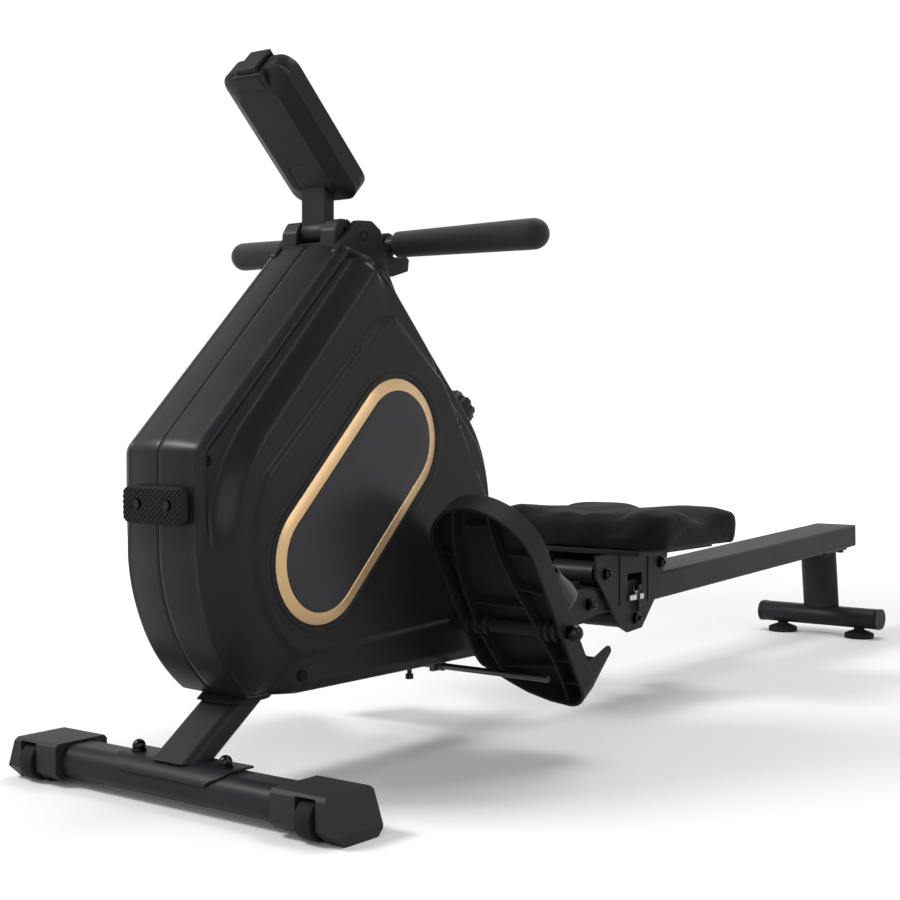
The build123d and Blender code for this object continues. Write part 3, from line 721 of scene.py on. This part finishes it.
def pedal_wall(path, low, high, thick, closed=False):
    """Wall standing on the footplate along a path of (x, v) points."""
    path = np.asarray(path, float)
    if closed:
        tangent = np.roll(path, -1, 0) - np.roll(path, 1, 0)
    else:
        tangent = np.gradient(path, axis=0)
    tangent /= np.linalg.norm(tangent, axis=1)[:, None]
    normal = np.stack([-tangent[:, 1], tangent[:, 0]], 1) * thick / 2
    a, b = path + normal, path - normal
    low, high = np.broadcast_to(low, len(path)), np.broadcast_to(high, len(path))
    rows = np.stack([on_pedal(a[:, 0], a[:, 1], low), on_pedal(a[:, 0], a[:, 1], high),
                     on_pedal(b[:, 0], b[:, 1], high), on_pedal(b[:, 0], b[:, 1], low)])
    verts = points(rows).reshape(-1, 3)
    faces = grid_faces(4, len(path), wrap_rows=True, wrap_cols=closed)
    if not closed:
        n = len(path)
        faces += [(0, n, 2 * n, 3 * n), (n - 1, 4 * n - 1, 3 * n - 1, 2 * n - 1)]
    obj = make_object("wall", verts, faces, "pedal")
    fix_normals(obj)
    return obj


def curve_through(knots, steps=30):
    """Smooth path through a few (x, v) knots, by v."""
    k = np.asarray(knots, float)
    fit = np.polyfit(k[:, 1], k[:, 0], 3)
    v = np.linspace(k[0, 1], k[-1, 1], steps)
    return np.stack([np.polyval(fit, v), v], 1)


def heel_cup():
    """Curved wall that holds the heel, with an oval hole near its outer corner."""
    side = [(236, v) for v in np.linspace(60, 80, 6)]
    corner = [(211 + 25 * math.cos(a), 80 + 25 * math.sin(a)) for a in np.radians(np.linspace(8, 84, 12))]
    back = [(200, 104.5), (185, 101), (170, 96.5), (155, 91), (140, 83), (127, 75), (114, 66.5), (104, 60)]
    path = resample(np.array(side + corner + back), 90, closed=False)
    run = np.r_[0, np.cumsum(np.linalg.norm(np.diff(path, axis=0), axis=1))]
    rise = smooth((run + 1) / 15) * smooth((run[-1] - run - 2) / 60)
    rows = 26
    t = np.linspace(0, 1, rows)[:, None]
    w = 12 + (3 + 50 * rise[None]) * t
    lean = 0.2 * np.maximum(w - 16, 0) * smooth((path[None, :, 1] - 66) / 34)
    x = path[None, :, 0] * np.ones((rows, 1))
    verts = points(on_pedal(x, path[None, :, 1] - lean, w)).reshape(-1, 3)
    hole_run, hole_w = run[np.argmin(np.abs(path[:, 0] - 224) + (path[:, 1] < 90) * 99)], 42
    faces = []
    for f in grid_faces(rows, len(path)):
        i, j = divmod(f[0], len(path))
        wide, high = (run[j] - hole_run) / 8.5, (w[i, j] - hole_w) / 12
        if wide * wide + high * high > 1:
            faces.append(f)
    return solidify(make_object("cup", verts, faces, "pedal", 60), "wall", 4.0, 0)


def build_foot_strap():
    """Woven strap over the foot, lower at its toe side than at its heel side."""
    t = np.linspace(-1, 1, 61)
    v = np.linspace(-66, -18, 17)[:, None]
    height = 30 + 22 * smooth((v + 66) / 48)
    angle = t[None] * math.pi / 2
    bulge = np.sign(angle) * np.abs(np.sin(angle)) ** 0.5
    x = PEDAL_MID + 68.3 * bulge
    w = 12 + height * np.cos(angle) ** 0.5
    verts = points(on_pedal(x, v + 0 * x, w)).reshape(-1, 3)
    strap = make_object("foot_strap_web_left", verts, grid_faces(len(v), len(t)), "web", 60)
    ride_pair(solidify(strap, "web", 2.6, 0), "foot_strap_web", "pedal_{}", "foot_strap_{}")


def build_pull_strap():
    """Woven strap from the spool through the outlet to the handle."""
    spool, outlet, handle = (375.4, 306), (367, 506), (328.6, 588.7)
    y = np.r_[spool[0], np.linspace(outlet[0], handle[0], 90)]
    z = np.r_[spool[1], np.linspace(outlet[1], handle[1], 90)]
    x = np.linspace(-12, 12, 5)[:, None]
    rows = np.stack([x + 0 * y, y + 0 * x, z + 0 * x], -1)
    strap = make_object("pull_strap_web", points(rows).reshape(-1, 3), grid_faces(5, len(y)), "web", 60)
    solidify(strap, "web", 1.6, 0)
    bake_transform(strap)
    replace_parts(strap, "pull_strap")


def pedal_ribs():
    """Two long ribs, short ones between them, and grip bars across the sole."""
    parts = []
    long_ribs = [[(146, -179), (128, -131), (116, -82), (113, -33), (114, 11), (126, 72)],
                 [(193, -176), (188, -130), (187, -90), (193, -50), (203, 0), (208, 104)]]
    for knots in long_ribs:
        parts.append(pedal_wall(curve_through(knots), -9.5, 8.5, 3.4))
    short_ribs = [((146, -150), (184, -152)), ((118, -36), (192, -34)), ((127, 62), (200, 53)),
                  ((196, -112), (235, -110)), ((192, -62), (233, -56)), ((207, 44), (235, 42)),
                  ((96, -108), (118, -108)), ((96, 20), (114, 18)), ((96, -46), (112, -45)),
                  ((205, 78), (233, 77))]
    for a, b in short_ribs:
        parts.append(pedal_wall(np.linspace(a, b, 5), -4.5, 8.5, 2.6))
    for v in range(-160, 61, 20):
        reach = 60 if v > -120 else 60 * math.sqrt(max(0.1, 1 - ((v + 110) / 73) ** 2)) - 6
        bar = np.linspace((PEDAL_MID - reach, v), (PEDAL_MID + reach, v), 5)
        parts.append(pedal_wall(bar, 11.5, 13.6, 5))
    return parts


def build_pedals():
    """Ribbed footplates with a rim, a heel cup and an axle boss with rings."""
    outline = pedal_outline()
    centre = outline.mean(0)
    inner = centre + (outline - centre) * 0.985
    rim = bevelled(pedal_wall(inner, -13, 16, 4.2, closed=True), 1.1)
    base = on_pedal(inner[:, 0], inner[:, 1], 8)
    plate = prism("plate", base, tuple(np.array([0, SIN, COS]) * 4), "pedal")
    parts = [rim]
    for part in [plate] + pedal_ribs() + [heel_cup()]:
        small = len(part.data.vertices) < 300
        parts.append(bevelled(part, 0.7) if small else part)
    parts.append(tube_along_x("axle", [8.8, 8.8], [95, 234], AXLE, "pedal"))
    for x in (97, 110, 124, 203, 213, 224):
        xs = [x + step for step in (-3, -3, -2.3, 2.3, 3, 3)]
        parts.append(tube_along_x("ring", [9, 12.4, 13, 13, 12.4, 9], xs, AXLE, "pedal"))
    body = join(parts, "footplate_shell_left")
    ride_pair(body, "footplate_shell", "pedal_{}", "footplate_{}")


# ---------------------------------------------------------------- seat cushion
def build_seat():
    """Saddle cushion: straight sides, raised corners, a dip on each side and a scalloped front, blown up
    by a cloth simulation."""
    low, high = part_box("seat_pad")
    cx, cy = (low.x + high.x) / 2, (low.y + high.y) / 2
    # a little smaller than the pad's solid, because the simulation swells it
    wx, wy = (high.x - low.x) / 2 - 0.005, (high.y - low.y) / 2 - 0.004
    base, top = low.z + 0.001, high.z
    outline = resample(rounded([(-wx, -wy), (wx, -wy), (wx, wy), (-wx, wy)], 0.026, 8), 200)

    def crest(x, y):
        """Height of the top, metres above the floor."""
        u, v = x / wx, y / wy
        dip = 0.019 * np.exp(-((v - 0.12) / 0.4) ** 2) * smooth((np.abs(u) - 0.2) / 0.7)
        thigh = 0.010 * smooth((-v - 0.3) / 0.65) * smooth(1 - np.abs(np.abs(u) - 0.42) / 0.36)
        valley = 0.010 * np.exp(-(u / 0.2) ** 2)
        return top + 0.005 - 0.003 * v - dip - thigh - valley

    rows = [np.column_stack([outline * t, np.full(len(outline), base)]) for t in (0.02, 0.5, 0.9)]
    for t, share in ((0.985, 0.02), (1.0, 0.12), (1.006, 0.35), (1.008, 0.6), (1.0, 0.82)):
        z = base + (crest(*(outline * 0.96).T) - base) * share
        rows.append(np.column_stack([outline * t, z]))
    for t, drop in ((0.985, 0.0035), (0.965, 0.0012)):
        rows.append(np.column_stack([outline * t, crest(*(outline * 0.96).T) - drop]))
    for t in np.linspace(0.94, 0.02, 26):
        rows.append(np.column_stack([outline * t, crest(*(outline * t).T)]))
    grid = np.stack(rows) + (cx, cy, 0)
    cushion = grid_object("seat_cushion", grid, "vinyl", wrap_cols=True, smooth_angle=80)
    fix_normals(cushion)
    remesh = cushion.modifiers.new("remesh", "REMESH")
    remesh.mode = "VOXEL"
    remesh.voxel_size = 0.004
    apply_modifiers(cushion)
    blow_up(cushion, 4.0, 0.005)
    subdivide = cushion.modifiers.new("subdivide", "SUBSURF")
    subdivide.levels = subdivide.render_levels = 1
    apply_modifiers(cushion)
    for p in cushion.data.polygons:
        p.use_smooth = True
    flatten_base(cushion, low.z + 0.0006)
    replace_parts(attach(cushion, "seat"), "seat_pad")


def blow_up(obj, pressure, cap):
    """Cloth simulation with inner pressure; no point moves further than cap."""
    rest = np.array([v.co for v in obj.data.vertices])
    cloth = obj.modifiers.new("cloth", "CLOTH")
    cloth.settings.use_pressure = True
    cloth.settings.uniform_pressure_force = pressure
    cloth.settings.effector_weights.gravity = 0
    scene = bpy.context.scene
    for f in range(1, 21):
        scene.frame_set(f)
    dg = bpy.context.evaluated_depsgraph_get()
    blown = np.array([v.co for v in obj.evaluated_get(dg).data.vertices])
    obj.modifiers.clear()
    scene.frame_set(1)
    move = blown - rest
    size = np.linalg.norm(move, axis=1, keepdims=True)
    move *= np.minimum(1, cap / np.maximum(size, 1e-9))
    obj.data.vertices.foreach_set("co", (rest + move).astype(np.float32).ravel())
    obj.data.update()


def flatten_base(obj, floor):
    """Keeps a cushion off the pan it rests on."""
    co = np.array([v.co for v in obj.data.vertices])
    co[:, 2] = np.maximum(co[:, 2], floor)
    obj.data.vertices.foreach_set("co", co.astype(np.float32).ravel())
    obj.data.update()


# ---------------------------------------------------------------- small fittings
def leaning_post():
    """Flat-oval tube from the foot tube up into the boot collar."""
    section = resample(rounded([(-30, -14.5), (30, -14.5), (30, 14.5), (-30, 14.5)], 11, 8), 96)
    lean, across = np.array([0.808, 0.589]), np.array([-0.589, 0.808])
    foot_z, collar_y = 1.6, 118                   # where the tube meets the saddle and the collar
    off = section[:, 1:2] * across
    low, high = (foot_z - off[:, 1]) / lean[1], (collar_y - off[:, 0]) / lean[0]
    rows = []
    for stop in np.linspace(0, 1, 12):
        run = (low + (high - low) * stop)[:, None]
        rows.append(np.column_stack([section[:, 0], off + run * lean + (0, 48)]))
    post = grid_object("post", points(np.stack(rows)), "frame", wrap_cols=True, smooth_angle=60)
    fix_normals(post)
    return post


def saddle_plate():
    """Plate that wraps the foot tube's top and front, narrower at its front edge."""
    a = np.radians(np.linspace(97, 160, 14))
    wrap = [(-10 + 20.6 * math.cos(t), 26.4 + 20.3 * math.sin(t)) for t in a]
    edge = np.array([(24, 46.4), (12, 46.6), (0, 46.7), *wrap])
    half = 84 - 18 * smooth((np.arange(len(edge)) - 7) / 9)
    across = np.linspace(-1, 1, 33)
    rows = [np.column_stack([h * across, np.full(33, y), np.full(33, z)]) for (y, z), h in zip(edge, half)]
    saddle = grid_object("saddle", points(np.stack(rows)), "frame", smooth_angle=50)
    solidify(saddle, "wall", 2.9, 1)
    fix_normals(saddle)
    return bevelled(saddle, 0.8, 2, 50)


def build_front_post():
    """Leaning post and its saddle plate, painted as one weldment."""
    post = join([leaning_post(), saddle_plate()], "front_post_painted")
    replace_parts(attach(post, "frame"), "front_post")


def build_console_bracket():
    """Fork that carries the console stalk: two rounded cheeks joined by an apron over the tower's top."""
    cheek = rounded([(199, 603), (234, 603), (234, 630), (226, 643), (210, 643), (201, 630)],
                    [2, 2, 8, 6, 7, 8], 6)
    parts = [side_prism("cheek", cheek, x0, x1, "plastic", 1.6) for x0, x1 in ((-42, -18.6), (18.6, 42))]
    apron = rounded([(198.5, 603), (234, 603), (234, 609), (226, 612), (203, 617), (199, 612)],
                    [1, 1, 2, 3, 3, 3], 4)
    parts.append(side_prism("apron", apron, -20, 20, "plastic", 0.8))
    fork = join(parts, "console_fork")
    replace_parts(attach(fork, "frame"), "console_bracket")


def build_levelling_feet():
    """Rubber discs with a neck round their threaded stems."""
    profile = [(0.01, 0), (25.5, 0), (26.5, 1), (26.5, 7.5), (25.6, 9), (17, 12.6), (12.5, 14), (10, 14.4),
               (9.5, 17.7), (6, 17.7), (6, 30), (0.01, 30)]
    foot = tube_upright("levelling_disc_left", profile, (76.4, 1612), "rubber", 64)
    ride_pair(foot, "levelling_disc", "foot_{}", "levelling_foot_{}")


def socket_bolt(x, centre, r=8.0):
    """Button-head bolt with a socket on an axis along X."""
    radii = [r + 1.5, r + 1.5, r, r * 0.97, r * 0.8, r * 0.55, r * 0.42, r * 0.4, 0.01]
    depths = [0, 1.2, 1.2, 3.6, 5.4, 6.2, 6.3, 3.2, 3.2]
    return tube_along_x("bolt", radii, [x + d for d in depths], centre, "bolt", 36)


def build_carriage():
    """Bolts, pressed channel lines and the height adjuster of the seat carriage."""
    plate_x = 50.2
    front, rear, lower = (775, 167.0 + 18.35), (930, 173.1 + 18.35), (857, 130.2 - 16.35)
    bolts = [socket_bolt(plate_x, centre) for centre in (front, rear, lower)]
    bolts.append(tube_along_x("stub", [4.5, 4.5, 3.5, 0.01], [50, 58, 60.5, 60.5], lower, "bolt", 24))
    ride_pair(join(bolts, "carriage_bolts_left"), "carriage_bolts", "seat")
    beads = []
    for y in (812, 892):
        path = [(y - 1.6, 212), (y - 1.6, 136), (y + 1.6, 136), (y + 1.6, 212)]
        beads.append(side_prism("bead", path, 49.6, 51.4, "frame", 0.6))
    ride_pair(join(beads, "carriage_channel_left"), "carriage_channel", "seat")
    tab = side_prism("tab", [(834, 142), (873, 142), (873, 150), (834, 150)], 50.4, 54.5, "bright", 0.6)
    profile = [(0.01, 150), (5.5, 150), (6, 151), (6, 154), (4.5, 156), (0.01, 156)]
    nut = tube_upright("nut", profile, (50.5, 853), "steel", 6)
    ride_pair(join([tab, nut], "adjuster_left"), "adjuster", "seat")


CONSOLE_FOOT = (248.5, 667.5)  # lower end of the console's middle plane, (Y, Z)
CONSOLE_LEAN = math.radians(45.5)


def on_console(x, v, z):
    """Console frame: x across, v up its length, z out of its back."""
    x, v, z = np.broadcast_arrays(np.asarray(x, float), v, z)
    cos, sin = math.cos(CONSOLE_LEAN), math.sin(CONSOLE_LEAN)
    return np.stack([x, CONSOLE_FOOT[0] - z * cos - v * sin, CONSOLE_FOOT[1] - z * sin + v * cos], -1)


def console_block(name, outline, z0, z1, material, bevel):
    """Block standing out of the console's back, from an outline of (x, v) points."""
    o = np.asarray(outline, float)
    lift = on_console(0, 0, z1) - on_console(0, 0, z0)
    return prism(name, on_console(o[:, 0], o[:, 1], z0), tuple(lift), material, bevel)


def build_console():
    """Housing of the phone clip on the console's back, with its lid."""
    outline = rounded([(-25, 172), (25, 172), (24, 194), (-24, 194)], 4, 4)
    house = console_block("clip_housing", outline, 5, 15.5, "console", 1.2)
    outline = rounded([(-17, 175), (17, 175), (17, 192), (-17, 192)], 2, 3)
    lid = console_block("clip_lid", outline, 15.3, 16.4, "plastic", 0.6)
    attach(join([house, lid], "clip_housing"), "console")


# ---------------------------------------------------------------- stage
def map_range(nodes_, links, value, limits):
    """A Map Range node from value; limits are From Min, From Max, To Min and To Max."""
    node = nodes_.new("ShaderNodeMapRange")
    for key, limit in zip(("From Min", "From Max", "To Min", "To Max"), limits):
        node.inputs[key].default_value = limit
    links.new(value, node.inputs["Value"])
    return node.outputs["Result"]


def floor_painted_shade_and_glow():
    """Floor with painted shade and painted light: pale grey near the machine, whiter and glowing further off,
    so that no horizon shows.
    """
    m, n, l, b = new_material("floor_painted_shade_and_glow", (0.9, 0.9, 0.9), 0.6)
    coords = object_coords(n)
    vary_rough(n, l, b, noise(n, l, 3, 2, coords), 0.55, 0.65)
    away = n.new("ShaderNodeVectorMath")
    away.operation = "LENGTH"
    l.new(coords, away.inputs[0])
    far = map_range(n, l, away.outputs["Value"], (1.2, 3.4, 0, 1))
    # painted shade: the floor's colour is darker within 1.2 m of the machine's middle
    vary_color(n, l, b, far, (0.66, 0.66, 0.66), (1, 1, 1), 0, 1)
    # painted light: the floor glows further off, though it is no lamp
    b.inputs["Emission Color"].default_value = (1, 1, 1, 1)
    glow = map_range(n, l, far, (0, 1, 0, 0.4))
    l.new(glow, b.inputs["Emission Strength"])
    return m


def build_stage():
    """Pale floor with painted shade near the machine and a painted glow further off, in a white room that is
    dimmer overhead.
    """
    steps = np.linspace(-40, 40, 41)
    x, y = np.meshgrid(steps, steps)
    floor = grid_object("floor", np.stack([x, y, np.zeros_like(x)], -1), "plastic")
    floor.data.materials.clear()
    floor.data.materials.append(floor_painted_shade_and_glow())
    world = bpy.data.worlds.new("studio")
    bpy.context.scene.world = world
    world.use_nodes = True
    n, l = world.node_tree.nodes, world.node_tree.links
    split = n.new("ShaderNodeSeparateXYZ")
    l.new(n.new("ShaderNodeTexCoord").outputs["Generated"], split.inputs["Vector"])
    sky = map_range(n, l, split.outputs["Z"], (0.24, 0.75, 1.03, 0.45))
    n["Background"].inputs["Color"].default_value = (1, 1, 1, 1)
    l.new(sky, n["Background"].inputs["Strength"])


def area_light(name, location, target, size, power):
    """Rectangular light aimed at target; size is its width and height."""
    light = bpy.data.lights.new(name, "AREA")
    light.energy = power
    light.shape = "RECTANGLE"
    light.size, light.size_y = size
    obj = bpy.data.objects.new(name, light)
    obj.location = location
    obj.rotation_euler = (Vector(target) - Vector(location)).to_track_quat("-Z", "Y").to_euler()
    bpy.context.scene.collection.objects.link(obj)


def build_lights():
    """Key from ahead of the far side, a narrow strip ahead, a side light and a soft one overhead."""
    area_light("key", (-1.7, -2.2, 2.5), (0, -0.6, 0.35), (1.1, 0.7), 105)
    area_light("left", (1.1, -2.6, 1.0), (-0.1, -0.8, 0.25), (0.35, 1.2), 9)
    area_light("side", (2.9, -0.1, 2.1), (0, -0.5, 0.3), (0.8, 1.6), 26)
    area_light("top", (0.2, 0.7, 3.0), (0, 0.2, 0), (2.0, 1.0), 46)


def build_camera():
    """At the height of someone kneeling ahead of the machine's left front corner."""
    data = bpy.data.cameras.new("camera")
    data.lens, data.sensor_width = 63.53, 36
    data.clip_end = 200
    camera = bpy.data.objects.new("camera", data)
    camera.location = at(1258.6, -1166.7, 426.3)
    camera.rotation_euler = (math.radians(88.44), 0, math.radians(37.54))
    bpy.context.scene.collection.objects.link(camera)
    bpy.context.scene.camera = camera
    bpy.context.scene.view_settings.view_transform = "Standard"


build_camera()
dress_cad_nodes()
for name, width in EDGE_WIDTHS.items():
    soften(name, width)
build_covers()
build_standing_pad()
build_pedals()
build_foot_strap()
build_pull_strap()
build_seat()
build_front_post()
build_console_bracket()
build_levelling_feet()
build_carriage()
build_console()
build_stage()
build_lights()
